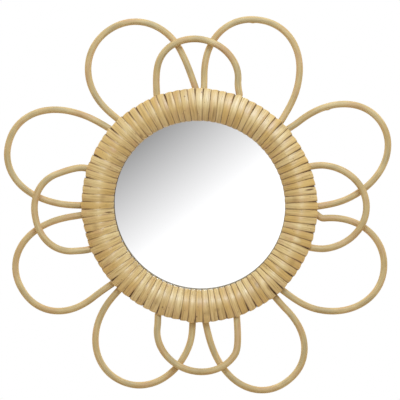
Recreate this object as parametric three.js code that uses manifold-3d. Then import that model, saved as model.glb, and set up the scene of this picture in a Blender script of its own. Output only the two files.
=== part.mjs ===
// Round wall mirror: a glass disc on a board, a broad ring bound with flat rattan peel in front of
// its edge, and a flower of bent cane loops set into the ring's outer side. Eight large loops lie
// near the wall and four small ones lean out and cross in front of them.
// Millimetres, +Z up. The mirror faces -Y, the wall is the plane y = 0, and the origin is the middle
// of the hanger's back face. A depth is a distance out from the wall, so y is minus the depth.
import * as THREE from 'three';
import { mergeVertices } from 'three/addons/utils/BufferGeometryUtils.js';
import { ParametricGeometry } from 'three/addons/geometries/ParametricGeometry.js';
import Module from 'manifold-3d';

const wasm = await Module();
wasm.setup();

// Left between pieces that touch.
const gap = 0.3;

// The origin, at the hanger, is this far above the ring's centre.
const hangDrop = 127;

// Sawtooth hanger: a strip bent like a hat, its raised bar against the wall, its tabs on the board.
const stripThickness = 1.2;
const stripHeight = 9;
const stripBelowOrigin = 4;
const barHalf = 11;
const barRise = 2.1;
const rampRun = 2;
const tabEnd = 20;
const toothCount = 5;
const toothPitch = 4;
const toothWidth = 3;
const toothDepth = 2;

// Its two screws.
const screwOut = 16.5;
const screwUp = 0.5;
const screwHeadRadius = 2.5;
const screwHeadHeight = 1.4;
const screwShankRadius = 1.2;
const screwShankLength = 6.4;
const screwTipLength = 1.6;
const screwSides = 12;
const pilotRadius = screwShankRadius + gap;
const pilotDepth = 5.3;

// Backing board, with a round recess that holds the glass.
const boardBack = barRise + stripThickness + gap;
const boardThickness = 6;
const boardRadius = 136;
const recessDepth = 3.3;
const glassRadius = 118.4;
const glassThickness = 3;
const discSides = 48;

// Bound ring: how far its outer and inner edges lie from its centre, and how far those edges and the
// crest stand out from its back. The crest is a rounded ridge between two nearly flat slopes; the
// section's corners lie beside it, 1.5 mm lower.
const ringOuter = 152.4;
const ringInner = 110.1;
const ringBack = boardBack + boardThickness + gap;
const outerEdgeFromBack = 11.7;
const innerEdgeFromBack = 9;
const crestFromBack = 24.8;
const ridgeRound = 5;
const frontSquareness = 1.2;
const backSquareness = 3;

// The hoop was bent by hand and is a little out of round: its radius is this much more along one
// line and this much less across it.
const outOfRound = 1.2;
const longestBearing = 115;

// The peel: how many times it goes round the ring, its thickness, and how far each wrap's edge
// stands over the next one. On the front a wrap runs almost straight out from the centre, and on
// the back it moves on by one pitch.
const wraps = 92;
const peelThickness = 1.2;
const wrapStep = 1;
const wrapEdge = 0.06;
const sectionPoints = 8;
const frontShare = 5 / 8;
const coreSections = 46;

// Canes of the loops. Each loop's two feet run into sockets in the ring. depth is at the foot, and
// lean is how much further from the wall a cane lies for each millimetre outwards. A cane's straight
// steps cut across its curve, so the steps' ends lie a little outside it.
const caneSides = 6;
const footInside = 11;
const outsideCurve = 0.5;
const large = {
  radius: 4.5, depth: ringBack + 4.6, lean: 0, lobeAngle: 100, squareness: 2.15, pull: 0.36, steps: 24,
};
const small = {
  radius: 4.6, depth: ringBack + 8.6, lean: 0.1, lobeAngle: 80, squareness: 2, pull: 0.36, steps: 18,
};

// Each loop is an oval lobe with two legs. bearing and distance place the lobe's middle, clockwise
// from the top and out from the ring's centre; length and width are its half axes, turned by tilt;
// feet are the bearings where the legs meet the ring's outer edge. Squareness makes the oval fuller
// than an ellipse, at 2, and pull is how far the legs carry on the lobe's line. The loops were bent
// by hand, so some differ from the rest in these too.
const loops = [
  { name: 'large_petal_top_left', cane: large, squareness: 2.07,
    bearing: -25, distance: 190.8, length: 65.8, width: 62.3, tilt: -10, feet: [-43.4, -2] },
  { name: 'large_petal_top_right', cane: large,
    bearing: 21.4, distance: 186.3, length: 67.5, width: 61.6, tilt: -15, feet: [2.2, 44.1] },
  { name: 'large_petal_right_upper', cane: large, squareness: 2.07,
    bearing: 69.1, distance: 184.3, length: 75.7, width: 60, tilt: -11, feet: [49.3, 90.6] },
  { name: 'large_petal_right_lower', cane: large, squareness: 2.07,
    bearing: 114.2, distance: 188, length: 68, width: 60.5, tilt: -22, feet: [94.4, 135.8] },
  { name: 'large_petal_bottom_right', cane: large,
    bearing: 156.9, distance: 194.5, length: 62.4, width: 56.1, tilt: -15, feet: [140.6, 177.1] },
  { name: 'large_petal_bottom_left', cane: large, squareness: 2.07,
    bearing: 203.5, distance: 181, length: 69.6, width: 60.4, tilt: 5, feet: [183.4, 223.5] },
  { name: 'large_petal_left_lower', cane: large,
    bearing: 246.3, distance: 194, length: 62, width: 57.2, tilt: -8, feet: [228, 265.2] },
  { name: 'large_petal_left_upper', cane: large,
    bearing: 289.4, distance: 187.5, length: 73.6, width: 60, tilt: -4, feet: [269.9, 310.4] },
  { name: 'small_petal_top', cane: small, pull: 0.3,
    bearing: -0.8, distance: 168.7, length: 46, width: 53.1, tilt: 18, feet: [-21.3, 19.9] },
  { name: 'small_petal_right', cane: small,
    bearing: 90.9, distance: 154.5, length: 61.6, width: 54.4, tilt: -3, feet: [70.7, 111] },
  { name: 'small_petal_bottom', cane: small, pull: 0.2,
    bearing: 180.5, distance: 167.3, length: 47.7, width: 54.2, tilt: 19, feet: [161.5, 200.7] },
  { name: 'small_petal_left', cane: small, squareness: 2.15, pull: 0.7,
    bearing: 267.3, distance: 166.5, length: 47, width: 51.7, tilt: -9, feet: [248.1, 288.2] },
].map((loop) => ({ ...loop.cane, ...loop }));

const peel = new THREE.MeshStandardMaterial({ color: 0xd8bc85, roughness: 0.45, metalness: 0 });
const hoopCane = new THREE.MeshStandardMaterial({ color: 0x8a6a3c, roughness: 0.8, metalness: 0 });
const loopCane = new THREE.MeshStandardMaterial({ color: 0xc7a876, roughness: 0.5, metalness: 0 });
const silvered = new THREE.MeshStandardMaterial({ color: 0xe9ecee, roughness: 0.03, metalness: 1 });
const fibreboard = new THREE.MeshStandardMaterial({ color: 0xb08a5c, roughness: 0.85, metalness: 0 });
const zincPlated = new THREE.MeshStandardMaterial({ color: 0xb9bcc0, roughness: 0.35, metalness: 1 });

// Turns a closed geometry into a solid that can be joined and cut.
function solidOf(geometry) {
  geometry.deleteAttribute('normal');
  geometry.deleteAttribute('uv');
  const merged = mergeVertices(geometry);
  const vertProperties = new Float32Array(merged.attributes.position.array);
  const triVerts = new Uint32Array(merged.index.array);
  return new wasm.Manifold(new wasm.Mesh({ numProp: 3, vertProperties, triVerts }));
}

// Turns a solid back into a named mesh.
function meshOf(name, solid, material) {
  const { vertProperties, triVerts } = solid.getMesh();
  const geometry = new THREE.BufferGeometry();
  geometry.setAttribute('position', new THREE.BufferAttribute(vertProperties, 3));
  geometry.setIndex(new THREE.BufferAttribute(triVerts, 1));
  geometry.computeVertexNormals();
  const mesh = new THREE.Mesh(geometry, material);
  mesh.name = name;
  return mesh;
}

// A shape turned round the mirror's axis, from pairs of radius and depth that start and end on it.
function turned(profile, sides) {
  const points = profile.map(([radius, depth]) => new THREE.Vector2(radius, -depth));
  return new THREE.LatheGeometry(points.reverse(), sides);
}

// A closed outline in x and z, as thick as the stretch between two depths.
function slab(points, nearDepth, farDepth) {
  const shape = new THREE.Shape(points.map(([x, z]) => new THREE.Vector2(x, z)));
  const geometry = new THREE.ExtrudeGeometry(shape, { depth: farDepth - nearDepth, bevelEnabled: false });
  return geometry.rotateX(Math.PI / 2).translate(0, -nearDepth, 0);
}

// A direction in the plane of the mirror, by its bearing clockwise from the top.
function outward(bearing) {
  const angle = THREE.MathUtils.degToRad(bearing);
  return new THREE.Vector2(Math.sin(angle), Math.cos(angle));
}

// How far a unit oval reaches at an angle. Squareness 2 is an ellipse, and more is fuller cornered.
function ovalReach(angle, squareness) {
  const across = Math.abs(Math.cos(angle)) ** squareness;
  const along = Math.abs(Math.sin(angle)) ** squareness;
  return (across + along) ** (-1 / squareness);
}

// How high the front stands, as a share of its crest, at a distance from the section's middle.
function ridgeShare(distance, half) {
  const drop = (Math.hypot(distance, ridgeRound) - ridgeRound) / (Math.hypot(half, ridgeRound) - ridgeRound);
  return Math.max(0, 1 - drop ** frontSquareness) ** (1 / frontSquareness);
}

// The ring's section: a point at a fraction of the way round it, from the outer side over the
// crest, the inner side and the back, with the whole section grown by a given amount.
function ringSection(fraction, grown) {
  const middle = (ringOuter + ringInner) / 2;
  const half = (ringOuter - ringInner) / 2 - wrapStep + grown;
  const front = fraction <= frontShare;
  const turn = front ? fraction / frontShare : 1 + (fraction - frontShare) / (1 - frontShare);
  const reach = front ? 1 : ovalReach(Math.PI * turn, backSquareness);
  const distance = half * reach * Math.cos(Math.PI * turn);
  const edge = (distance > 0 ? outerEdgeFromBack : innerEdgeFromBack) + wrapStep;
  const height = front
    ? (crestFromBack + grown - edge) * ridgeShare(distance, half)
    : (edge - wrapStep + grown) * reach * Math.sin(Math.PI * turn);
  return { radius: middle + distance, depth: ringBack + edge + height };
}

// A point of that section where it stands at a bearing on the ring.
function ringPoint(fraction, grown, bearing, target) {
  const { radius, depth } = ringSection(fraction, grown);
  const longer = outOfRound * Math.cos(2 * THREE.MathUtils.degToRad(bearing - longestBearing));
  const direction = outward(bearing).multiplyScalar(radius + longer);
  target.set(direction.x, -depth, direction.y);
}

// A plain ring of that section.
function plainRing(grown) {
  return new ParametricGeometry((around, along, target) => {
    ringPoint(around, grown, 360 * along, target);
  }, sectionPoints, coreSections);
}

// The peel's outer face. Two sections a wrap, low where it starts and high where it ends, make a
// step down onto the next wrap.
function woundFace() {
  return new ParametricGeometry((around, along, target) => {
    const section = Math.round(along * wraps * 2);
    const high = section % 2;
    const back = Math.max(0, (around - frontShare) / (1 - frontShare));
    const wrap = Math.floor(section / 2) + high * (1 - wrapEdge) + THREE.MathUtils.smoothstep(back, 0, 1);
    ringPoint(around, high * wrapStep, 360 * wrap / wraps, target);
  }, sectionPoints, wraps * 2);
}

// The rounded part of a loop: an oval, squared a little, open towards the ring.
class Lobe extends THREE.Curve {
  constructor(loop) {
    super();
    this.loop = loop;
  }

  getPoint(t) {
    const { bearing, distance, length, width, tilt, lobeAngle, squareness } = this.loop;
    const angle = THREE.MathUtils.degToRad(lobeAngle) * (2 * t - 1);
    const reach = ovalReach(angle, squareness);
    const middle = outward(bearing).multiplyScalar(distance);
    const along = (length + outsideCurve) * reach * Math.cos(angle);
    const across = (width + outsideCurve) * reach * Math.sin(angle);
    return middle.addScaledVector(outward(bearing + tilt), along)
      .addScaledVector(outward(bearing + tilt + 90), across);
  }
}

// A loop's middle line in the plane of the mirror: foot, leg, lobe, leg and foot. Each leg leaves
// the lobe smoothly, and each foot runs on under the peel towards the ring's centre.
function loopOutline(loop) {
  const lobe = new Lobe(loop);
  const legs = [0, 1].map((end) => {
    const start = lobe.getPoint(end);
    const foot = outward(loop.feet[end]).multiplyScalar(ringOuter);
    const pull = loop.pull * start.distanceTo(foot) * (end ? 1 : -1);
    const first = lobe.getTangent(end).multiplyScalar(pull).add(start);
    const second = first.clone().lerp(foot, 0.5);
    const inside = outward(loop.feet[end]).multiplyScalar(ringOuter - footInside);
    return { start, first, second, foot, inside };
  });
  const outline = new THREE.CurvePath();
  outline.add(new THREE.LineCurve(legs[0].inside, legs[0].foot));
  outline.add(new THREE.CubicBezierCurve(legs[0].foot, legs[0].second, legs[0].first, legs[0].start));
  outline.add(lobe);
  outline.add(new THREE.CubicBezierCurve(legs[1].start, legs[1].first, legs[1].second, legs[1].foot));
  outline.add(new THREE.LineCurve(legs[1].foot, legs[1].inside));
  return outline;
}

// The same line at its depth: it stands further from the wall the further out it lies.
class LoopPath extends THREE.Curve {
  constructor(loop) {
    super();
    this.outline = loopOutline(loop);
    this.loop = loop;
  }

  getPoint(t, target = new THREE.Vector3()) {
    const flat = this.outline.getPoint(t);
    const depth = this.loop.depth + this.loop.lean * (flat.length() - ringOuter);
    return target.set(flat.x, -depth, flat.y);
  }
}

// A cane bent along a loop, its radius grown by a given amount.
function bentCane(loop, grown) {
  const corners = [];
  for (let side = 0; side < caneSides; side += 1) {
    corners.push(outward(360 * side / caneSides).multiplyScalar(loop.radius + grown));
  }
  const section = new THREE.Shape(corners);
  return new THREE.ExtrudeGeometry(section, { steps: loop.steps, extrudePath: new LoopPath(loop) });
}

// The glass disc, silvered on its back.
function makeGlass() {
  const back = boardBack + boardThickness - glassThickness;
  const front = boardBack + boardThickness;
  const disc = turned([[0, back], [glassRadius, back], [glassRadius, front], [0, front]], discSides);
  return meshOf('mirror_glass', solidOf(disc), silvered);
}

// The board, with the recess for the glass and pilot holes for the hanger's screws.
function makeBoard() {
  const front = boardBack + boardThickness;
  const floor = front - recessDepth;
  const recess = glassRadius + gap;
  const profile = [[0, boardBack], [boardRadius, boardBack], [boardRadius, front],
    [recess, front], [recess, floor], [0, floor]];
  let board = solidOf(turned(profile, discSides));
  for (const x of [-screwOut, screwOut]) {
    const hole = turned([[0, 0], [pilotRadius, 0], [pilotRadius, boardBack + pilotDepth],
      [0, boardBack + pilotDepth]], screwSides);
    board = board.subtract(solidOf(hole.translate(x, 0, hangDrop + screwUp)));
  }
  return meshOf('backing_board', board, fibreboard);
}

// The hanger strip: the hat shape seen from above, with notches along its lower edge and a hole in
// each tab.
function makeHanger() {
  const front = barRise + stripThickness;
  const bendInset = stripThickness / 2;
  const toTheWall = [[tabEnd, barRise], [barHalf + rampRun, barRise], [barHalf, 0]];
  const toTheBoard = [[barHalf - bendInset, stripThickness], [barHalf + rampRun - bendInset, front],
    [tabEnd, front]];
  const flipped = (points) => points.map(([x, depth]) => [-x, depth]).reverse();
  const outline = [...toTheWall, ...flipped(toTheWall), ...flipped(toTheBoard), ...toTheBoard];
  const shape = new THREE.Shape(outline.map(([x, depth]) => new THREE.Vector2(x, -depth)));
  const strip = new THREE.ExtrudeGeometry(shape, { depth: stripHeight, bevelEnabled: false });
  let hanger = solidOf(strip.translate(0, 0, -stripBelowOrigin));
  for (let tooth = 0; tooth < toothCount; tooth += 1) {
    const x = (tooth - (toothCount - 1) / 2) * toothPitch;
    const low = -stripBelowOrigin - gap;
    const notch = [[x - toothWidth / 2, low], [x + toothWidth / 2, low], [x, toothDepth - stripBelowOrigin]];
    hanger = hanger.subtract(solidOf(slab(notch, -gap, stripThickness + gap)));
  }
  for (const x of [-screwOut, screwOut]) {
    const hole = turned([[0, 0], [pilotRadius, 0], [pilotRadius, boardBack], [0, boardBack]], screwSides);
    hanger = hanger.subtract(solidOf(hole.translate(x, 0, screwUp)));
  }
  return meshOf('hanger', hanger, zincPlated);
}

// A pan-headed screw through a tab into the board.
function makeScrew(name, x) {
  const seat = barRise - gap;
  const head = seat - screwHeadHeight;
  const shankEnd = seat + screwShankLength - screwTipLength;
  const profile = [[0, head], [screwHeadRadius * 0.75, head], [screwHeadRadius, head + screwHeadHeight / 3],
    [screwHeadRadius, seat], [screwShankRadius, seat], [screwShankRadius, shankEnd],
    [0, shankEnd + screwTipLength]];
  return meshOf(name, solidOf(turned(profile, screwSides).translate(x, 0, screwUp)), zincPlated);
}

// The hoop, the peel wound round it, and the loops. Sockets a little wider than the canes go
// through the peel and into the hoop.
function makeRingAndLoops() {
  const sockets = wasm.Manifold.union(loops.map((loop) => solidOf(bentCane(loop, gap))));
  const hoop = solidOf(plainRing(-peelThickness - gap)).subtract(sockets);
  const binding = solidOf(woundFace()).subtract(solidOf(plainRing(-peelThickness))).subtract(sockets);
  return [
    meshOf('ring_core', hoop, hoopCane),
    meshOf('ring_binding', binding, peel),
    ...loops.map((loop) => meshOf(loop.name, solidOf(bentCane(loop, 0)), loopCane)),
  ];
}

const roundTheCentre = new THREE.Group();
roundTheCentre.position.z = -hangDrop;
roundTheCentre.add(makeGlass(), makeBoard(), ...makeRingAndLoops());

const mirror = new THREE.Group();
mirror.add(roundTheCentre, makeHanger());
mirror.add(makeScrew('hanger_screw_left', -screwOut), makeScrew('hanger_screw_right', screwOut));

export default mirror;
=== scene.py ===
import bpy
import numpy as np
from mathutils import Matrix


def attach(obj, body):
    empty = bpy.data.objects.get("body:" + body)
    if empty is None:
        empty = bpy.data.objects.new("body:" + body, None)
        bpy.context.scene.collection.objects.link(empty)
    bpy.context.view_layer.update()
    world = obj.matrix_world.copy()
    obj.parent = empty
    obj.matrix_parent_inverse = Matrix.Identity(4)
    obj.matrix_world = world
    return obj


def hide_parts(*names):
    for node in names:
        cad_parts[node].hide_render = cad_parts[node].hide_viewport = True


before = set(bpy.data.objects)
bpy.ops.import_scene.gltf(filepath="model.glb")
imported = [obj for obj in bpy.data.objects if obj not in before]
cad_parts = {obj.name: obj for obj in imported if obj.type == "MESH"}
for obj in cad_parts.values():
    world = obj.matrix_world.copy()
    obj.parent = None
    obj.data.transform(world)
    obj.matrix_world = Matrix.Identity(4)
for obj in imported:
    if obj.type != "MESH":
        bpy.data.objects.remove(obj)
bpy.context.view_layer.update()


# The studio. The mirror hangs free in front of a white background, well above a pale floor, and is
# photographed from straight in front. Soft light falls from above and a little from the right.
mm = 0.001
ring_centre_z = -127 * mm
frame_width = 519 * mm
camera_distance = 3.2
camera_aim = np.array([0.65 * mm, -18 * mm, -120.2 * mm])
camera_to_right = np.radians(0.9)
camera_up = np.radians(0.6)
floor_below = 1.3
floor_half_width = 1.6
floor_half_depth = 1.2
floor_middle_y = -0.6
floor_white = "#f3f2ef"
background_white = "#ffffff"
room_warm = "#ffeed6"
daylight = "#cfe6ff"
room_strength = 0.61
background_strength = 2.3
background_rises_to = 0.3
behind_strength = 0.6
behind_falls_from = 0.5
behind_falls_to = 0.7
light_height = 0.6
low_share = 0.75
high_share = 1.1


def linear(colour):
    """An sRGB hex colour as linear RGBA: c / 12.92 for the darkest, else ((c + 0.055) / 1.055) ** 2.4."""
    value = np.array([int(colour[start:start + 2], 16) for start in (1, 3, 5)]) / 255
    value = np.where(value <= 0.04045, value / 12.92, ((value + 0.055) / 1.055) ** 2.4)
    return (*value.tolist(), 1.0)


def add(tree, kind, settings=None, inputs=None):
    """Adds a shader node. An input is a value, or a node whose first working output is linked to it."""
    node = tree.nodes.new("ShaderNode" + kind)
    for name, value in (settings or {}).items():
        setattr(node, name, value)
    sockets = [socket for socket in node.inputs if socket.enabled]
    for name, value in (inputs or {}).items():
        socket = sockets[name] if isinstance(name, int) else next(s for s in sockets if s.name == name)
        if isinstance(value, bpy.types.Node):
            value = next(output for output in value.outputs if output.enabled)
        if isinstance(value, bpy.types.NodeSocket):
            tree.links.new(value, socket)
        else:
            socket.default_value = value
    return node


def new_material(name):
    """An empty node material and its tree."""
    material = bpy.data.materials.new(name)
    material.use_nodes = True
    material.node_tree.nodes.clear()
    return material, material.node_tree


def aim(item, target):
    """Turns a lamp or camera so that it looks at a point, with its top up."""
    direction = item.location - item.location.__class__(target)
    item.rotation_euler = direction.to_track_quat("Z", "Y").to_euler()


def soft_lamp(name, place, size, power):
    """A square soft box at a place, turned towards the mirror."""
    lamp = bpy.data.lights.new(name, "AREA")
    lamp.size = size
    lamp.color = linear(daylight)[:3]
    lamp.energy = power
    item = bpy.data.objects.new(name, lamp)
    item.location = place
    bpy.context.scene.collection.objects.link(item)
    aim(item, (0, 0, ring_centre_z))


camera = bpy.data.objects.new("camera", bpy.data.cameras.new("camera"))
camera.data.sensor_fit = "HORIZONTAL"
camera.data.angle = 2 * np.arctan(frame_width / 2 / camera_distance)
camera.location = camera_aim + camera_distance * np.array([
    np.sin(camera_to_right) * np.cos(camera_up),
    -np.cos(camera_to_right) * np.cos(camera_up),
    np.sin(camera_up)])
bpy.context.scene.collection.objects.link(camera)
aim(camera, camera_aim)
bpy.context.scene.camera = camera
bpy.context.scene.view_settings.view_transform = "Standard"

soft_lamp("soft_box_above", place=(0.2, -1.36, 1.33), size=1.0, power=29)
soft_lamp("soft_box_over_camera", place=(0.1, -2.55, 0.45), size=0.36, power=7.8)

# The white background beside and beyond the mirror is lit more strongly than the room in front of it
# and the part straight behind it, and all are darker below.
world = bpy.data.worlds.new("white_studio")
bpy.context.scene.world = world
world.use_nodes = True
tree = world.node_tree
tree.nodes.clear()
direction = add(tree, "SeparateXYZ", inputs={"Vector": add(tree, "TexCoord").outputs["Generated"]})
into_background = add(tree, "MapRange", inputs={
    "Value": direction.outputs["Y"], "From Min": 0.0, "From Max": background_rises_to,
    "To Min": room_strength, "To Max": background_strength})
past_background = add(tree, "MapRange", inputs={
    "Value": direction.outputs["Y"], "From Min": behind_falls_from, "From Max": behind_falls_to,
    "To Min": background_strength, "To Max": behind_strength})
by_depth = add(tree, "Math", {"operation": "MINIMUM"}, {0: into_background, 1: past_background})
by_height = add(tree, "MapRange", inputs={
    "Value": direction.outputs["Z"], "From Min": -light_height, "From Max": light_height,
    "To Min": low_share, "To Max": high_share})
room_light = add(tree, "Background", inputs={
    "Color": linear(room_warm), "Strength": add(tree, "Math", {"operation": "MULTIPLY"}, {
        0: by_depth, 1: by_height})})
seen_white = add(tree, "Background", inputs={"Color": linear(background_white), "Strength": 1.0})
add(tree, "OutputWorld", inputs={"Surface": add(tree, "MixShader", inputs={
    0: add(tree, "LightPath").outputs["Is Camera Ray"], 1: room_light, 2: seen_white})})


def surface(name, points, uv, close_rows=False, close_columns=True, caps=False):
    """Quads over a grid of points (rows, columns, 3), turned to face outwards by the sign of their volume.

    A closed direction joins its last line to its first, and uv then has one more line that way. Caps
    close the first and last rows with one flat face each."""
    rows, columns = points.shape[:2]
    row, column = np.meshgrid(np.arange(rows if close_rows else rows - 1),
                              np.arange(columns if close_columns else columns - 1), indexing="ij")
    steps = ((0, 0), (0, 1), (1, 1), (1, 0))
    quads = np.stack([(row + down) % rows * columns + (column + right) % columns
                      for down, right in steps], -1)
    corners_uv = np.stack([uv[row + down, column + right] for down, right in steps], -2)
    corners_uv = corners_uv.reshape(-1, 4, 2)
    quads = quads.reshape(-1, 4)
    corner = points.reshape(-1, 3)[quads]
    twice = np.cross(corner[:, 1] - corner[:, 0], corner[:, 3] - corner[:, 0])
    twice += np.cross(corner[:, 3] - corner[:, 2], corner[:, 1] - corner[:, 2])
    if np.sum(corner.mean(1) * twice) < 0 and (close_columns and (close_rows or caps)):
        quads, corners_uv, order = quads[:, ::-1], corners_uv[:, ::-1], -1
    else:
        order = 1
    faces = quads.tolist()
    if caps:
        rim = np.arange(columns)
        faces += [rim[::-order].tolist(), (rim + (rows - 1) * columns)[::order].tolist()]
    mesh = bpy.data.meshes.new(name)
    mesh.from_pydata(points.reshape(-1, 3).tolist(), [], faces)
    layer = mesh.uv_layers.new(name="surface_metres")
    values = np.zeros((len(mesh.loops), 2))
    values[:quads.size] = corners_uv.reshape(-1, 2)
    layer.data.foreach_set("uv", values.ravel())
    smooth = np.ones(len(mesh.polygons), bool)
    smooth[len(quads):] = False
    mesh.polygons.foreach_set("use_smooth", smooth)
    item = bpy.data.objects.new(name, mesh)
    bpy.context.scene.collection.objects.link(item)
    return item


def sheet_between(name, places):
    """A flat sheet over two parameters: places(across, along) gives its corners at -1 and 1 of both."""
    across, along = np.meshgrid([-1.0, 1.0], [-1.0, 1.0], indexing="ij")
    return surface(name, places(across, along), np.stack([across, along], -1), close_columns=False)


floor = sheet_between("floor", lambda x, y: np.stack(
    [floor_half_width * x, floor_middle_y + floor_half_depth * y,
     np.full_like(x, ring_centre_z - floor_below)], -1))
floor_paint, tree = new_material("matt_white_floor")
add(tree, "OutputMaterial", inputs={"Surface": add(tree, "BsdfPrincipled", inputs={
    "Base Color": linear(floor_white), "Roughness": 0.9})})
floor.data.materials.append(floor_paint)
floor.visible_diffuse = False

# What the mirror looks into: a large pale card behind the camera, grey at its upper left and white
# from its middle to its lower right. Only mirror reflections show it.
card_distance = 3.6
card_half = 1.3
card_grey = 0.38
card_white = 1.28
card_grey_at = -0.332
card_white_at = 0.068
card_slope_x = 0.87
card_slope_z = 1.11
card = sheet_between("reflected_card", lambda x, z: np.stack(
    [card_half * x, np.full_like(x, -card_distance), ring_centre_z + card_half * z], -1))
card_paint, tree = new_material("shaded_card")
on_card = add(tree, "SeparateXYZ", inputs={"Vector": add(tree, "TexCoord").outputs["Object"]})
slant = add(tree, "Math", {"operation": "SUBTRACT"}, {
    0: add(tree, "Math", {"operation": "MULTIPLY"}, {0: on_card.outputs["X"], 1: card_slope_x}),
    1: add(tree, "Math", {"operation": "MULTIPLY"}, {0: on_card.outputs["Z"], 1: card_slope_z})})
brightness = add(tree, "MapRange", inputs={
    "Value": slant, "From Min": card_grey_at - card_slope_z * ring_centre_z,
    "From Max": card_white_at - card_slope_z * ring_centre_z,
    "To Min": card_grey, "To Max": card_white})
add(tree, "OutputMaterial", inputs={"Surface": add(tree, "Emission", inputs={"Strength": brightness})})
card.data.materials.append(card_paint)
card.visible_camera = False
card.visible_diffuse = False
card.visible_shadow = False


# The mirror: a disc of 3 mm float glass, silvered and painted grey on its back, with a ground edge.
# It lies in the board's recess, and the ring in front of it hides its edge.
board_front = 9.6 * mm
glass_radius = 118.4 * mm
glass_thickness = 3 * mm
edge_bevel = 0.5 * mm
silver = "#f1f1f2"
# Painted shade on the mirror: the grey that replaces the silver outside an oval near the glass's edge, and
# that oval.
painted_shade_rim_grey = "#928c7e"
painted_shade_oval_middle = (0.35 * mm, 0, ring_centre_z + 1.3 * mm)
painted_shade_oval_half_long = 111.3 * mm
painted_shade_oval_half_short = 109.0 * mm
painted_shade_oval_long_bearing = 115
ground_glass_green = "#9fb8ab"
backing_grey = "#6d7073"


def turned(name, radius, depth, sides=128):
    """A profile of radii and depths carried round the mirror's axis, with a flat cap at each end."""
    turn = np.linspace(0, 2 * np.pi, sides + 1)
    radius, depth = np.asarray(radius)[:, None], np.asarray(depth)[:, None]
    points = np.stack([radius * np.sin(turn), -depth + 0 * turn,
                       ring_centre_z + radius * np.cos(turn)], -1)
    length = np.r_[0, np.cumsum(np.hypot(np.diff(radius[:, 0]), np.diff(depth[:, 0])))]
    uv = np.stack([turn * radius.max() + 0 * radius, length[:, None] + 0 * turn], -1)
    return surface(name, points[:, :-1], uv, caps=True)


glass = turned(
    "silvered_glass_disc",
    [glass_radius - edge_bevel, glass_radius, glass_radius, glass_radius - edge_bevel],
    [board_front - glass_thickness, board_front - glass_thickness + edge_bevel,
     board_front - edge_bevel, board_front])

# Silvered float glass: almost all light comes back, with the faint green of the glass. Outside a slightly
# oval, off-centre line near its edge, the silver is painted over with grey. This is painted shade for the
# dark reflection of the shadowed gap under the ring's inner edge, and it shows only where the ring leaves it
# in view.
silvering, tree = new_material("silvered_float_glass")
from_painted_shade_oval_middle = add(tree, "Mapping", {"vector_type": "TEXTURE"}, {
    "Vector": add(tree, "TexCoord").outputs["Object"], "Location": painted_shade_oval_middle,
    "Rotation": (0, np.radians(painted_shade_oval_long_bearing), 0),
    "Scale": (painted_shade_oval_half_short, 1, painted_shade_oval_half_long)})
# Painted shade: outside the oval the mirror's colour turns from silver to grey.
painted_shade_rim = add(tree, "MapRange", inputs={
    "Value": add(tree, "VectorMath", {"operation": "LENGTH"}, {0: from_painted_shade_oval_middle}).outputs["Value"],
    "From Min": 0.999, "From Max": 1.001})
haze = add(tree, "TexNoise", inputs={
    "Vector": add(tree, "TexCoord").outputs["Object"], "Scale": 14, "Detail": 3})
clear = add(tree, "MapRange", inputs={
    "Value": haze, "From Min": 0.3, "From Max": 0.8, "To Min": 0.004, "To Max": 0.02})
add(tree, "OutputMaterial", inputs={"Surface": add(tree, "BsdfPrincipled", inputs={
    "Base Color": add(tree, "Mix", {"data_type": "RGBA"}, {
        "Factor": painted_shade_rim, "A": linear(silver), "B": linear(painted_shade_rim_grey)}),
    "Metallic": 1.0, "Roughness": clear})})

# The ground edge scatters light and shows the green of the glass. Its grit is about 0.1 mm, drawn 1 mm
# wide so that it shows.
ground_edge, tree = new_material("ground_glass_edge")
grinding = add(tree, "TexNoise", inputs={
    "Vector": add(tree, "TexCoord").outputs["Object"], "Scale": 900, "Detail": 2})
add(tree, "OutputMaterial", inputs={"Surface": add(tree, "BsdfPrincipled", inputs={
    "Base Color": linear(ground_glass_green), "Roughness": add(tree, "MapRange", inputs={
        "Value": grinding, "To Min": 0.45, "To Max": 0.75}), "IOR": 1.52})})

# The grey paint over the silvering is rolled on, dull and a little uneven, in spots about 4 mm wide.
backing_paint, tree = new_material("mirror_backing_paint")
rolled = add(tree, "TexNoise", inputs={
    "Vector": add(tree, "TexCoord").outputs["Object"], "Scale": 260, "Detail": 2})
add(tree, "OutputMaterial", inputs={"Surface": add(tree, "BsdfPrincipled", inputs={
    "Base Color": linear(backing_grey), "Roughness": 0.7, "Normal": add(tree, "Bump", inputs={
        "Height": rolled, "Distance": 0.05 * mm})})})

for finish in (ground_edge, backing_paint, silvering):
    glass.data.materials.append(finish)
cap_faces = np.zeros(len(glass.data.polygons), int)
cap_faces[-2:] = (1, 2)
glass.data.polygons.foreach_set("material_index", cap_faces)
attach(glass, "root")
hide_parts("mirror_glass")


# The board behind the glass: 6 mm medium density fibreboard, sawn round and left bare. Fine wood
# fibre pressed with resin gives it an even brown with short paler and darker flecks.
fibre_brown = "#b28d62"
fibre_dark = "#8a6a45"
fibre_pale = "#c9a77c"

board_finish, tree = new_material("bare_fibreboard")
where = add(tree, "TexCoord").outputs["Object"]
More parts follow.
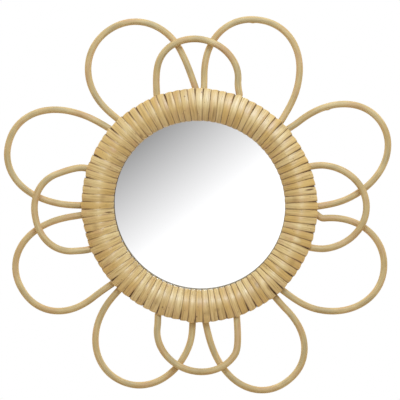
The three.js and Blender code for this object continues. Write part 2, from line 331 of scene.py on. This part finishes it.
# Fibres are 0.1 mm thick and 2 mm long; they are drawn about 0.8 mm by 2 mm so that they show.
board_fibres = add(tree, "TexNoise", inputs={
    "Vector": add(tree, "Mapping", inputs={"Vector": where, "Scale": (500, 900, 1200)}),
    "Scale": 1, "Detail": 3, "Roughness": 0.7})
cloud = add(tree, "TexNoise", inputs={"Vector": where, "Scale": 18, "Detail": 2})
brown = add(tree, "Mix", {"data_type": "RGBA"}, {
    "Factor": add(tree, "MapRange", inputs={"Value": board_fibres, "From Min": 0.35, "From Max": 0.65}),
    "A": linear(fibre_dark), "B": linear(fibre_pale)})
board_colour = add(tree, "Mix", {"data_type": "RGBA"}, {
    "Factor": add(tree, "MapRange", inputs={
        "Value": cloud, "From Min": 0.3, "From Max": 0.7, "To Min": 0.35, "To Max": 0.7}),
    "A": brown, "B": linear(fibre_brown)})
add(tree, "OutputMaterial", inputs={"Surface": add(tree, "BsdfPrincipled", inputs={
    "Base Color": board_colour, "Roughness": 0.82, "Normal": add(tree, "Bump", inputs={
        "Height": board_fibres, "Distance": 0.08 * mm, "Strength": 0.6})})})
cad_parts["backing_board"].data.materials.clear()
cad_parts["backing_board"].data.materials.append(board_finish)


# The hoop inside the ring: a bundle of thick cane that the peel is wound on. It shows only between the wraps.
# Its dark browns stand partly for old cane and dust, and partly for painted shade in the shadowed gaps there.
section_middle = 131.25 * mm
section_half = 20.25 * mm
out_of_round = 1.2 * mm
longest_bearing = 115
section_outer_depth = 24.2 * mm
section_inner_depth = 19.3 * mm
section_crest_depth = 32.9 * mm
section_back_depth = 10.9 * mm
ridge_round = 5 * mm
front_squareness = 1.2
back_squareness = 3
front_share = 0.62
hoop_below_peel = 1.5 * mm
hoop_canes = 13
hoop_groove = 0.35 * mm
hoop_girth = 100 * mm
# Painted shade in part: both browns are dark so that the gaps between the wraps, where the hoop shows, look
# shadowed.
hoop_brown = "#7a5a30"
hoop_shadow = "#5a421f"


def oval(turn, squareness):
    """A unit oval, |x|^s + |y|^s = 1, at an angle: squareness 2 is a circle and more is squarer."""
    x, y = np.cos(turn), np.sin(turn)
    reach = (np.abs(x) ** squareness + np.abs(y) ** squareness) ** (-1 / squareness)
    return reach * x, reach * y


def ring_section(samples):
    """The bound ring's section, from its outer side over the front to the inner side and the back.

    The front is a ridge between two nearly flat slopes: its depth falls from the crest to the outer or
    inner edge as (1 - q^p)^(1/p), where q is sqrt(x^2 + c^2) - c over its value at the edge. The back
    is a squared oval. Returns radius, depth and the unit normal in radius and depth."""
    fraction = np.arange(samples) / samples
    front = fraction < front_share
    turn = np.pi * np.where(front, fraction / front_share, 1 + (fraction - front_share) / (1 - front_share))
    across = np.cos(turn)
    drop = np.hypot(across * section_half, ridge_round) - ridge_round
    drop /= np.hypot(section_half, ridge_round) - ridge_round
    ridge = np.clip(1 - drop ** front_squareness, 0, 1) ** (1 / front_squareness)
    back_x, back_y = oval(turn, back_squareness)
    across = np.where(front, across, back_x)
    edge = np.where(across > 0, section_outer_depth, section_inner_depth)
    radius = section_middle + section_half * across
    depth = edge + np.where(front, (section_crest_depth - edge) * ridge, (edge - section_back_depth) * back_y)
    along = np.stack([np.roll(radius, -1) - np.roll(radius, 1), np.roll(depth, -1) - np.roll(depth, 1)])
    normal = np.stack([along[1], -along[0]])
    return radius, depth, normal / np.hypot(*normal)


def out_of_true(bearing):
    """How much further out the ring lies at a bearing in degrees, because it is a little oval."""
    return out_of_round * np.cos(2 * np.radians(bearing - longest_bearing))


def hoop_of_canes(samples=78, sides=184):
    """The section, shrunk and grooved between its canes, carried once round the mirror."""
    radius, depth, normal = ring_section(samples)
    groove = hoop_groove * np.abs(np.cos(np.pi * hoop_canes * np.arange(samples) / samples))
    inward = hoop_below_peel + hoop_groove - groove
    radius, depth = (radius - normal[0] * inward)[:, None], (depth - normal[1] * inward)[:, None]
    turn = np.linspace(0, 2 * np.pi, sides + 1)
    radial = radius + out_of_true(np.degrees(turn))
    points = np.stack([radial * np.sin(turn), -depth + 0 * turn, ring_centre_z + radial * np.cos(turn)], -1)
    around = np.linspace(0, 1, samples + 1)[:, None] * hoop_girth
    uv = np.stack([turn * section_middle + 0 * around, around + 0 * turn], -1)
    return surface("hoop_of_bundled_cane", points[:, :-1], uv, close_rows=True)


hoop = hoop_of_canes()

# Old cane, dull, with dust in patches about 5 mm wide.
hoop_finish, tree = new_material("dusty_cane_hoop_painted_shade")
mottling = add(tree, "TexNoise", inputs={
    "Vector": add(tree, "TexCoord").outputs["Object"], "Scale": 220, "Detail": 3})
add(tree, "OutputMaterial", inputs={"Surface": add(tree, "BsdfPrincipled", inputs={
    "Base Color": add(tree, "Mix", {"data_type": "RGBA"}, {
        "Factor": mottling, "A": linear(hoop_brown), "B": linear(hoop_shadow)}),
    "Roughness": 0.8})})
hoop.data.materials.append(hoop_finish)
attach(hoop, "root")
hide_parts("ring_core")


# The binding: flat rattan peel, the glossy skin of the cane split off and trimmed about 10 mm wide,
# wound tightly round the hoop 92 times. Each wrap runs straight out over the front, lies over the
# edge of the next one, and moves on by its width across the back.
wraps = 92
wrap_samples = 48
peel_width = 10.55 * mm
peel_thickness = 1.2 * mm
peel_cup = 0.06 * mm
peel_step = 0.7 * mm
peel_step_from = -0.75
peel_step_to = 0.3
peel_edge_squareness = 3.4
peel_sides = 16
slide_scatter = 0.22 * mm
lean_scatter = 0.5 * mm
bow_scatter = 0.3 * mm
sway_scatter = 0.3 * mm
width_scatter = 0.015
lift_scatter = 0.1 * mm
most_lift = 0.15 * mm
lift_whole_to = 0.3
lift_gone_at = 0.95
foot_bearings = np.array([
    -43.4, -2, 2.2, 44.1, 49.3, 90.6, 94.4, 135.8, 140.6, 177.1, 183.4, 223.5, 228, 265.2, 269.9, 310.4,
    -21.3, 19.9, 70.7, 111, 161.5, 200.7, 248.1, 288.2])
bottom_feet = np.abs(foot_bearings - 180.2) < 5
foot_bulge = np.where(bottom_feet, 1.9, 0.9) * mm
foot_bulge_spread = 2.2
foot_bulge_over_side = 0.5
rng = np.random.default_rng(92)


def smoothstep(value, low=0.0, high=1.0):
    """Rises from 0 at low to 1 at high along 3 t^2 - 2 t^3."""
    t = np.clip((value - low) / (high - low), 0, 1)
    return t * t * (3 - 2 * t)


def wound_peel():
    """One ribbon carried round the hoop's section while the section goes once round the mirror.

    On the front a wrap keeps its bearing, plus a slide, lean, bow and sway of its own; over the back
    it moves on by one pitch. Across its width the ribbon is a squared oval, cupped, low at its start
    and risen at its end. The last wrap joins the first."""
    wrap, step = np.divmod(np.arange(wraps * wrap_samples), wrap_samples)
    fraction = step / wrap_samples
    radius, depth, normal = ring_section(wrap_samples)
    radius, depth, normal = radius[step], depth[step], normal[:, step]
    over = 2 * np.clip(fraction / front_share, 0, 1) - 1
    back = smoothstep(fraction, front_share, 1)
    following = (wrap + 1) % wraps
    slide = rng.normal(0, slide_scatter, wraps)
    lean = rng.normal(0, lean_scatter, wraps)
    bow = rng.normal(0, bow_scatter, wraps)
    sway = rng.normal(0, sway_scatter, wraps)
    width = peel_width * rng.normal(1, width_scatter, wraps)
    lift = rng.normal(0, lift_scatter, wraps).clip(-most_lift, most_lift)
    on_front = slide[wrap] + lean[wrap] * over + bow[wrap] * (1 - over ** 2)
    on_front += sway[wrap] * np.sin(np.pi * over)
    aside = on_front * (1 - back) + (slide - lean)[following] * back
    width = width[wrap] * (1 - back) + width[following] * back
    lift = lift[wrap] * (1 - back) + lift[following] * back
    x, y = oval(2 * np.pi * np.arange(peel_sides) / peel_sides, peel_edge_squareness)
    rise = peel_step * smoothstep(x, peel_step_from, peel_step_to)
    rise = rise - peel_cup * x ** 2 + peel_thickness / 2 * (y - 1)
    bearing = 2 * np.pi * (wrap + back)[:, None] / wraps
    bearing = bearing + (aside[:, None] + width[:, None] / 2 * x) / radius[:, None]
    away = (np.degrees(bearing)[..., None] - foot_bearings + 180) % 360 - 180
    near_foot = (foot_bulge * np.exp(-(away / foot_bulge_spread) ** 2)).max(-1)
    side = np.exp(-((normal[0] - 1) / foot_bulge_over_side) ** 2)[:, None]
    held = smoothstep(-np.abs(x), -lift_gone_at, -lift_whole_to)
    height = rise + lift[:, None] * held + near_foot * side
    radial = radius[:, None] + normal[0][:, None] * height + out_of_true(np.degrees(bearing))
    points = np.stack([radial * np.sin(bearing), -(depth[:, None] + normal[1][:, None] * height),
                       ring_centre_z + radial * np.cos(bearing)], -1)
    middle = points.mean(1)
    length = np.r_[0, np.cumsum(np.linalg.norm(np.roll(middle, -1, 0) - middle, axis=1))]
    across = np.r_[x, x[0]] * peel_width / 2
    uv = np.stack([length[:, None] + 0 * across, across + 0 * length[:, None]], -1)
    return surface("wound_rattan_peel", points, uv, close_rows=True)


binding = wound_peel()

# Split rattan peel, straw coloured, with a natural gloss. Fine fibres run along it, its tone changes from one
# stretch of cane to the next, and a joint of the cane crosses it every 30 cm or so. Its edges are darkened,
# partly by dirt and partly by painted shade for the shadow in the seams between wraps. The darkening is least
# on the crest and grows towards the ring's inner and outer edges.
straw = "#d4b067"
straw_deep = "#aa8745"
straw_pale = "#e2c88d"
straw_pink = "#c99f70"
scar_brown = "#86622f"
edge_brown = "#6e481b"
stretches_per_metre = 13.0
joints_per_metre = 3.0
patches_per_metre = (45, 120, 1)
specks_per_metre = (45, 60, 1)
fibres_per_metre = (22, 520, 1)
# Painted shade and dirt along the peel's edges: where across the strip the darkening starts and where it is
# full, and how far from the crest it is least and most.
edge_dirt_and_shade_from = 3.8 * mm
edge_dirt_and_shade_to = 4.8 * mm
edge_darkening_least_within = 3 * mm
edge_darkening_most_beyond = 11 * mm

# Stains, joints, specks and splits, with two pale patches of painted highlight and one dark gap of painted
# shade, each by its bearing and distance from the ring's centre, half width and half length in mm, colour and
# strength.
marks = [
    (-7.7, 142, 1.3, 1.3, scar_brown, 0.85),
    (1.2, 146.3, 1.3, 1.2, scar_brown, 0.85),
    (199.8, 140.1, 1.4, 1.7, scar_brown, 0.85),
    (181.4, 144, 1.2, 1.3, scar_brown, 0.85),
    (9.2, 121, 2.4, 10, scar_brown, 0.5),
    # Painted highlight: a pale patch for the light caught by a raised piece of peel.
    (1.0, 119, 4.2, 4.6, straw_pale, 0.5),
    # Painted highlight: a pale patch on the peel.
    (109.5, 134, 3.6, 6, straw_pale, 0.7),
    (110, 126, 3, 4, straw_pink, 0.6),
    # Painted shade: a dark gap between two wraps.
    (265.6, 117.4, 1.1, 6, edge_brown, 0.95),
    (81.9, 144, 1.4, 7, edge_brown, 0.95),
    (-39.9, 117, 1.8, 4, scar_brown, 0.6),
    (-57.5, 132, 3.2, 6, straw_pink, 0.6),
    (-61, 115.5, 3, 4, scar_brown, 0.35),
    (47.6, 128, 3.5, 6, scar_brown, 0.3),
    (143.7, 127, 3.5, 6, scar_brown, 0.45),
    (139.8, 140, 3, 5, scar_brown, 0.4),
    (170.3, 137, 4, 3, scar_brown, 0.35),
]

peel_finish, tree = new_material("glossy_rattan_peel")
on_peel = add(tree, "UVMap", {"uv_map": "surface_metres"})
place_on_peel = add(tree, "SeparateXYZ", inputs={"Vector": on_peel})
# Fibres are about 0.3 mm wide; they are drawn in bundles 2 mm wide and 45 mm long so that they show.
fibres = add(tree, "TexNoise", {"noise_dimensions": "2D"}, {
    "Vector": add(tree, "Mapping", inputs={"Vector": on_peel, "Scale": fibres_per_metre}),
    "Scale": 1, "Detail": 4, "Roughness": 0.7})
stretch = add(tree, "TexNoise", {"noise_dimensions": "1D"}, {
    "W": add(tree, "Math", {"operation": "MULTIPLY"}, {
        0: place_on_peel.outputs["X"], 1: stretches_per_metre}),
    "Scale": 1, "Detail": 1})
patches = add(tree, "TexNoise", {"noise_dimensions": "2D"}, {
    "Vector": add(tree, "Mapping", inputs={
        "Vector": on_peel, "Location": (3, 7, 0), "Scale": patches_per_metre}),
    "Scale": 1, "Detail": 2})
joints = add(tree, "TexVoronoi", {"voronoi_dimensions": "1D"}, {
    "W": add(tree, "Math", {"operation": "MULTIPLY"}, {0: place_on_peel.outputs["X"], 1: joints_per_metre}),
    "Scale": 1, "Randomness": 0.8})
specks = add(tree, "TexVoronoi", {"voronoi_dimensions": "2D"}, {
    "Vector": add(tree, "Mapping", inputs={"Vector": on_peel, "Scale": specks_per_metre}), "Scale": 1})
by_stretch = add(tree, "Mix", {"data_type": "RGBA"}, {
    "Factor": add(tree, "MapRange", inputs={"Value": stretch, "From Min": 0.36, "From Max": 0.64}),
    "A": linear(straw), "B": linear(straw_pale)})
by_fibre = add(tree, "Mix", {"data_type": "RGBA"}, {
    "Factor": add(tree, "MapRange", inputs={
        "Value": fibres, "From Min": 0.45, "From Max": 0.72, "To Min": 0.0, "To Max": 0.85}),
    "A": by_stretch, "B": linear(straw_deep)})
by_patch = add(tree, "Mix", {"data_type": "RGBA"}, {
    "Factor": add(tree, "MapRange", inputs={
        "Value": patches, "From Min": 0.52, "From Max": 0.8, "To Min": 0.0, "To Max": 0.5}),
    "A": by_fibre, "B": linear(straw_pink)})
by_joint = add(tree, "Mix", {"data_type": "RGBA"}, {
    "Factor": add(tree, "MapRange", inputs={
        "Value": joints, "From Min": 0.003, "From Max": 0.016, "To Min": 0.28, "To Max": 0.0}),
    "A": by_patch, "B": linear(scar_brown)})
by_speck = add(tree, "Mix", {"data_type": "RGBA"}, {
    "Factor": add(tree, "MapRange", inputs={
        "Value": specks, "From Min": 0.02, "From Max": 0.05, "To Min": 0.6, "To Max": 0.0}),
    "A": by_joint, "B": linear(scar_brown)})
marked = by_speck
for bearing, out, half_width, half_length, colour, strength in marks:
    turn = np.radians(bearing)
    from_mark = add(tree, "Mapping", {"vector_type": "TEXTURE"}, {
        "Vector": add(tree, "TexCoord").outputs["Object"],
        "Location": (out * mm * np.sin(turn), 0, ring_centre_z + out * mm * np.cos(turn)),
        "Rotation": (0, turn, 0), "Scale": (half_width * mm, 1, half_length * mm)})
    inside = add(tree, "MapRange", inputs={
        "Value": add(tree, "VectorMath", {"operation": "LENGTH"}, {0: from_mark}).outputs["Value"],
        "From Min": 0.5, "From Max": 1.1, "To Min": strength, "To Max": 0.0})
    marked = add(tree, "Mix", {"data_type": "RGBA"}, {"Factor": inside, "A": marked, "B": linear(colour)})
from_middle = add(tree, "Math", {"operation": "ABSOLUTE"}, {0: place_on_peel.outputs["Y"]})
from_centre = add(tree, "VectorMath", {"operation": "LENGTH"}, {0: add(tree, "Mapping", inputs={
    "Vector": add(tree, "TexCoord").outputs["Object"],
    "Location": (0, 0, -ring_centre_z), "Scale": (1, 0, 1)})})
from_crest = add(tree, "Math", {"operation": "ABSOLUTE"}, {0: add(tree, "Math", {"operation": "SUBTRACT"}, {
    0: from_centre.outputs["Value"], 1: section_middle})})
# Painted shade with dirt: the edges' darkening is weakest near the crest and strongest towards the ring's
# edges.
edge_dirt_and_shade = add(tree, "MapRange", inputs={
    "Value": from_crest, "From Min": edge_darkening_least_within, "From Max": edge_darkening_most_beyond,
    "To Min": 0.4, "To Max": 0.88})
peel_colour = add(tree, "Mix", {"data_type": "RGBA"}, {
    "Factor": add(tree, "MapRange", inputs={
        "Value": from_middle, "From Min": edge_dirt_and_shade_from, "From Max": edge_dirt_and_shade_to,
        "To Min": 0.0, "To Max": edge_dirt_and_shade}),
    "A": marked, "B": linear(edge_brown)})
gloss = add(tree, "MapRange", inputs={
    "Value": fibres, "From Min": 0.3, "From Max": 0.7, "To Min": 0.44, "To Max": 0.6})
joint_ridge = add(tree, "MapRange", inputs={
    "Value": joints, "From Min": 0.0, "From Max": 0.015, "To Min": 1.0, "To Max": 0.0})
relief = add(tree, "Math", {"operation": "ADD"}, {0: fibres, 1: joint_ridge})
add(tree, "OutputMaterial", inputs={"Surface": add(tree, "BsdfPrincipled", inputs={
    "Base Color": peel_colour, "Roughness": gloss, "IOR": 1.5, "Coat Weight": 0.9,
    "Coat Roughness": 0.38, "Normal": add(tree, "Bump", inputs={
        "Height": relief, "Distance": 0.15 * mm, "Strength": 0.5})})})
binding.data.materials.append(peel_finish)
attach(binding, "root")
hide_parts("ring_binding")


# The loops: round rattan cane 9 mm thick, bent by hand while wet. Each is an oval lobe with two legs
# whose feet are pushed under the peel. Four small loops lean out and cross in front of eight large.
cane_sides = 20
cane_spacing = 2.2 * mm
nub_height = 0.9 * mm
nub_spread = 2.4 * mm
ring_outer = 152.4
foot_inside = 11
lobe_points = 241
leg_points = 40
straight_for = 10 * mm
free_from = 60 * mm
depth_waver = 0.1 * mm
depth_wave = 150 * mm
thickness_share = 0.958
thickness_waver = 0.012
thickness_wave = 70 * mm
roundness_waver = 0.012
roundness_wave = 90 * mm
wave_divisors = np.array([1, 1.7, 2.9])
wave_heights = np.array([0.5, 0.3, 0.2])
pattern_offset_most = 20
large = dict(radius=4.5, depth=14.5, lean=0, lobe_angle=100, squareness=2.15, pull=0.36)
small = dict(radius=4.6, depth=18.5, lean=0.1, lobe_angle=80, squareness=2, pull=0.36)
loops = [
    dict(large, name="large_petal_top_left", squareness=2.07,
         bearing=-25, distance=190.8, length=65.8, width=62.3, tilt=-10, feet=(-43.4, -2)),
    dict(large, name="large_petal_top_right", nub=0.426,
         bearing=21.4, distance=186.3, length=67.5, width=61.6, tilt=-15, feet=(2.2, 44.1)),
    dict(large, name="large_petal_right_upper", squareness=2.07, nub=0.215,
         bearing=69.1, distance=184.3, length=75.7, width=60, tilt=-11, feet=(49.3, 90.6)),
    dict(large, name="large_petal_right_lower", squareness=2.07,
         bearing=114.2, distance=188, length=68, width=60.5, tilt=-22, feet=(94.4, 135.8)),
    dict(large, name="large_petal_bottom_right",
         bearing=156.9, distance=194.5, length=62.4, width=56.1, tilt=-15, feet=(140.6, 177.1)),
    dict(large, name="large_petal_bottom_left", squareness=2.07,
         bearing=203.5, distance=181, length=69.6, width=60.4, tilt=5, feet=(183.4, 223.5)),
    dict(large, name="large_petal_left_lower",
         bearing=246.3, distance=194, length=62, width=57.2, tilt=-8, feet=(228, 265.2)),
    dict(large, name="large_petal_left_upper",
         bearing=289.4, distance=187.5, length=73.6, width=60, tilt=-4, feet=(269.9, 310.4)),
    dict(small, name="small_petal_top", pull=0.3,
         bearing=-0.8, distance=168.7, length=46, width=53.1, tilt=18, feet=(-21.3, 19.9)),
    dict(small, name="small_petal_right",
         bearing=90.9, distance=154.5, length=61.6, width=54.4, tilt=-3, feet=(70.7, 111)),
    dict(small, name="small_petal_bottom", pull=0.2,
         bearing=180.5, distance=167.3, length=47.7, width=54.2, tilt=19, feet=(161.5, 200.7)),
    dict(small, name="small_petal_left", squareness=2.15, pull=0.7,
         bearing=267.3, distance=166.5, length=47, width=51.7, tilt=-9, feet=(248.1, 288.2)),
]


def outward(bearing):
    """The direction in the plane of the mirror at a bearing in degrees, clockwise from the top."""
    return np.stack([np.sin(np.radians(bearing)), np.cos(np.radians(bearing))], -1)


def loop_outline(loop):
    """A loop's middle line in the plane of the mirror, in millimetres from the ring's centre.

    The lobe is a squared oval about its middle. Each leg is a cubic curve that leaves the lobe along
    its line and ends at the foot, and the foot runs on straight towards the centre."""
    turn = np.radians(loop["lobe_angle"]) * np.linspace(-1, 1, lobe_points)
    x, y = oval(turn, loop["squareness"])
    lobe = loop["distance"] * outward(loop["bearing"])
    lobe = lobe + loop["length"] * x[:, None] * outward(loop["bearing"] + loop["tilt"])
    lobe = lobe + loop["width"] * y[:, None] * outward(loop["bearing"] + loop["tilt"] + 90)
    share = np.linspace(0, 1, leg_points)[:, None]
    legs = []
    for end, following in ((0, 1), (-1, -2)):
        start = lobe[end]
        line = start - lobe[following]
        foot = ring_outer * outward(loop["feet"][end])
        reach = loop["pull"] * np.linalg.norm(start - foot)
        first = start + line / np.linalg.norm(line) * reach
        second = (first + foot) / 2
        leg = ((1 - share) ** 3 * start + 3 * share * (1 - share) ** 2 * first
               + 3 * share ** 2 * (1 - share) * second + share ** 3 * foot)
        legs.append(np.vstack([leg[1:], (ring_outer - foot_inside) * outward(loop["feet"][end])]))
    return np.vstack([legs[0][::-1], lobe, legs[1]])


def evenly(line, spacing):
    """The same line with its points evenly spaced along it."""
    length = np.r_[0, np.cumsum(np.linalg.norm(np.diff(line, axis=0), axis=1))]
    even = np.linspace(0, length[-1], int(np.ceil(length[-1] / spacing)) + 1)
    return np.stack([np.interp(even, length, line[:, axis]) for axis in range(line.shape[1])], -1), even


def waver(length, wave):
    """A smooth random line between about -1 and 1: three sines of shrinking wavelength."""
    waves = wave / wave_divisors[:, None]
    phases = rng.uniform(0, 2 * np.pi, (3, 1))
    return (np.sin(2 * np.pi * length / waves + phases) * wave_heights[:, None]).sum(0)


def bent_cane(loop):
    """A round rod carried along a loop, whose line, thickness and roundness waver a little.

    A nub, where a leaf grew, stands up from its inner side at a share of its length."""
    flat, length = evenly(loop_outline(loop) * mm, cane_spacing)
    tangent = np.gradient(flat, axis=0)
    tangent /= np.linalg.norm(tangent, axis=1)[:, None]
    aside = np.stack([tangent[:, 1], -tangent[:, 0]], -1)
    free = smoothstep(np.minimum(length, length[-1] - length), straight_for, free_from)
    reach = np.linalg.norm(flat, axis=1) - ring_outer * mm
    depth = loop["depth"] * mm + loop["lean"] * reach
    depth += depth_waver * waver(length, depth_wave) * free
    turn = np.linspace(0, 2 * np.pi, cane_sides + 1)
    thickness = thickness_share + thickness_waver * waver(length, thickness_wave)
    radius = loop["radius"] * mm * thickness[:, None]
    flatness = roundness_waver * waver(length, roundness_wave)[:, None]
    if "nub" in loop:
        along = np.exp(-((length - loop["nub"] * length[-1]) / nub_spread) ** 2)[:, None]
        radius = radius + nub_height * along * np.cos(turn).clip(0) ** 4
    side = radius * (1 + flatness) * np.cos(turn)
    front = radius * (1 - flatness) * np.sin(turn)
    points = np.stack([flat[:, :1] + aside[:, :1] * side, -(depth[:, None] + front),
                       ring_centre_z + flat[:, 1:] + aside[:, 1:] * side], -1)
    start = rng.uniform(0, pattern_offset_most)
    uv = np.stack([start + length[:, None] + 0 * turn, turn * loop["radius"] * mm + 0 * length[:, None]], -1)
    return surface("bent_cane_" + loop["name"], points[:, :-1], uv, caps=True)


# Round cane with its skin shaved off: paler and duller than the peel, with open grain along it, and
# slow changes between straw, grey-green and pink.
cane_straw = "#c2a770"
cane_deep = "#a08253"
cane_pale = "#d2bc88"
cane_grey_green = "#b2a279"
cane_pink = "#c79d78"
grains_per_metre = (33, 1000, 1)
tints_per_metre = (30, 90, 1)
tones_per_metre = 22.0

cane_finish, tree = new_material("shaved_round_cane")
on_cane = add(tree, "UVMap", {"uv_map": "surface_metres"})
place_on_cane = add(tree, "SeparateXYZ", inputs={"Vector": on_cane})
# Pores are about 0.2 mm wide; they are drawn 1 mm wide and 30 mm long so that they show.
grain = add(tree, "TexNoise", {"noise_dimensions": "2D"}, {
    "Vector": add(tree, "Mapping", inputs={"Vector": on_cane, "Scale": grains_per_metre}),
    "Scale": 1, "Detail": 3, "Roughness": 0.65})
slow = add(tree, "TexNoise", {"noise_dimensions": "1D"}, {
    "W": add(tree, "Math", {"operation": "MULTIPLY"}, {0: place_on_cane.outputs["X"], 1: tones_per_metre}),
    "Scale": 1, "Detail": 2})
tint = add(tree, "TexNoise", {"noise_dimensions": "2D"}, {
    "Vector": add(tree, "Mapping", inputs={
        "Vector": on_cane, "Location": (5, 2, 0), "Scale": tints_per_metre}),
    "Scale": 1, "Detail": 1})
by_length = add(tree, "Mix", {"data_type": "RGBA"}, {
    "Factor": add(tree, "MapRange", inputs={"Value": slow, "From Min": 0.3, "From Max": 0.7}),
    "A": linear(cane_straw), "B": linear(cane_pale)})
by_tint = add(tree, "Mix", {"data_type": "RGBA"}, {
    "Factor": add(tree, "MapRange", inputs={
        "Value": tint, "From Min": 0.5, "From Max": 0.75, "To Min": 0.0, "To Max": 0.5}),
    "A": by_length, "B": linear(cane_pink)})
by_green = add(tree, "Mix", {"data_type": "RGBA"}, {
    "Factor": add(tree, "MapRange", inputs={
        "Value": tint, "From Min": 0.5, "From Max": 0.25, "To Min": 0.0, "To Max": 0.7}),
    "A": by_tint, "B": linear(cane_grey_green)})
cane_colour = add(tree, "Mix", {"data_type": "RGBA"}, {
    "Factor": add(tree, "MapRange", inputs={
        "Value": grain, "From Min": 0.45, "From Max": 0.75, "To Min": 0.0, "To Max": 0.65}),
    "A": by_green, "B": linear(cane_deep)})
add(tree, "OutputMaterial", inputs={"Surface": add(tree, "BsdfPrincipled", inputs={
    "Base Color": cane_colour, "IOR": 1.48, "Roughness": add(tree, "MapRange", inputs={
        "Value": grain, "From Min": 0.3, "From Max": 0.7, "To Min": 0.46, "To Max": 0.62}),
    "Normal": add(tree, "Bump", inputs={"Height": grain, "Distance": 0.15 * mm, "Strength": 0.6})})})

for loop in loops:
    cane = bent_cane(loop)
    cane.data.materials.append(cane_finish)
    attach(cane, "root")
    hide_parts(loop["name"])


# The hanger: a stamped strip of zinc-plated steel with a sawtooth edge, held by two pan-headed screws
# of the same finish with a cross recess. Bright plating goes slightly cloudy and blue.
zinc = "#b9bec3"
zinc_cloud = "#9aa3ad"
screw_out = 16.5 * mm
screw_up = 0.5 * mm
screw_head_radius = 2.5 * mm
screw_head_top = 0.4 * mm
screw_seat = 1.8 * mm
shank_radius = 1.2 * mm
shank_end = 6.6 * mm
screw_tip = 8.2 * mm
recess_reach = 1.3 * mm
recess_half_width = 0.33 * mm
recess_depth = 0.8 * mm
recess_soft_side = 0.3
recess_soft_end = 0.2
head_dome = 0.16
head_edge_out = [0.94, 0.99, 1.0, 1.0]
head_edge_fall = [0.2, 0.4, 0.7, 1.0]
tip_radius = 0.1 * shank_radius

zinc_finish, tree = new_material("zinc_plated_steel")
where = add(tree, "TexCoord").outputs["Object"]
cloudy = add(tree, "TexNoise", inputs={"Vector": where, "Scale": 300, "Detail": 3})
# Rolling marks along the strip, 0.1 mm apart, are drawn 0.4 mm apart so that they show.
rolling = add(tree, "TexNoise", inputs={
    "Vector": add(tree, "Mapping", inputs={"Vector": where, "Scale": (60, 2500, 2500)}),
    "Scale": 1, "Detail": 2})
add(tree, "OutputMaterial", inputs={"Surface": add(tree, "BsdfPrincipled", inputs={
    "Base Color": add(tree, "Mix", {"data_type": "RGBA"}, {
        "Factor": cloudy, "A": linear(zinc), "B": linear(zinc_cloud)}),
    "Metallic": 1.0,
    "Roughness": add(tree, "MapRange", inputs={
        "Value": rolling, "From Min": 0.3, "From Max": 0.7, "To Min": 0.28, "To Max": 0.45}),
    "Normal": add(tree, "Bump", inputs={"Height": rolling, "Distance": 0.02 * mm, "Strength": 0.5})})})
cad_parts["hanger"].data.materials.clear()
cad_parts["hanger"].data.materials.append(zinc_finish)


def pan_head_screw(name, out):
    """A turned profile whose head's top is sunk along two crossed arms to make the recess."""
    turn = np.linspace(0, 2 * np.pi, 49)
    top = np.linspace(0.05, 0.86, 15)
    radius = np.r_[top, head_edge_out] * screw_head_radius
    fall = np.r_[head_dome * top ** 2, head_edge_fall] * (screw_seat - screw_head_top)
    radius = np.r_[radius, shank_radius, shank_radius, tip_radius]
    depth = np.r_[screw_head_top + fall, screw_seat, shank_end, screw_tip]
    x, z = radius[:, None] * np.sin(turn), radius[:, None] * np.cos(turn)
    arms = [smoothstep(-np.abs(wide), -recess_half_width * (1 + recess_soft_side),
                       -recess_half_width * (1 - recess_soft_side))
            * smoothstep(-np.abs(far), -recess_reach, -recess_reach * (1 - recess_soft_end))
            for wide, far in ((x, z), (z, x))]
    on_top = (np.arange(len(radius)) < len(top))[:, None]
    sunk = recess_depth * np.maximum(*arms) * on_top
    points = np.stack([out + x, -(depth[:, None] + sunk), screw_up + z], -1)
    uv = np.stack([x, z], -1)
    return surface(name, points[:, :-1], uv, caps=True)


for side, out in (("left", -screw_out), ("right", screw_out)):
    screw = pan_head_screw("pan_head_screw_" + side, out)
    screw.data.materials.append(zinc_finish)
    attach(screw, "root")
    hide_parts("hanger_screw_" + side)
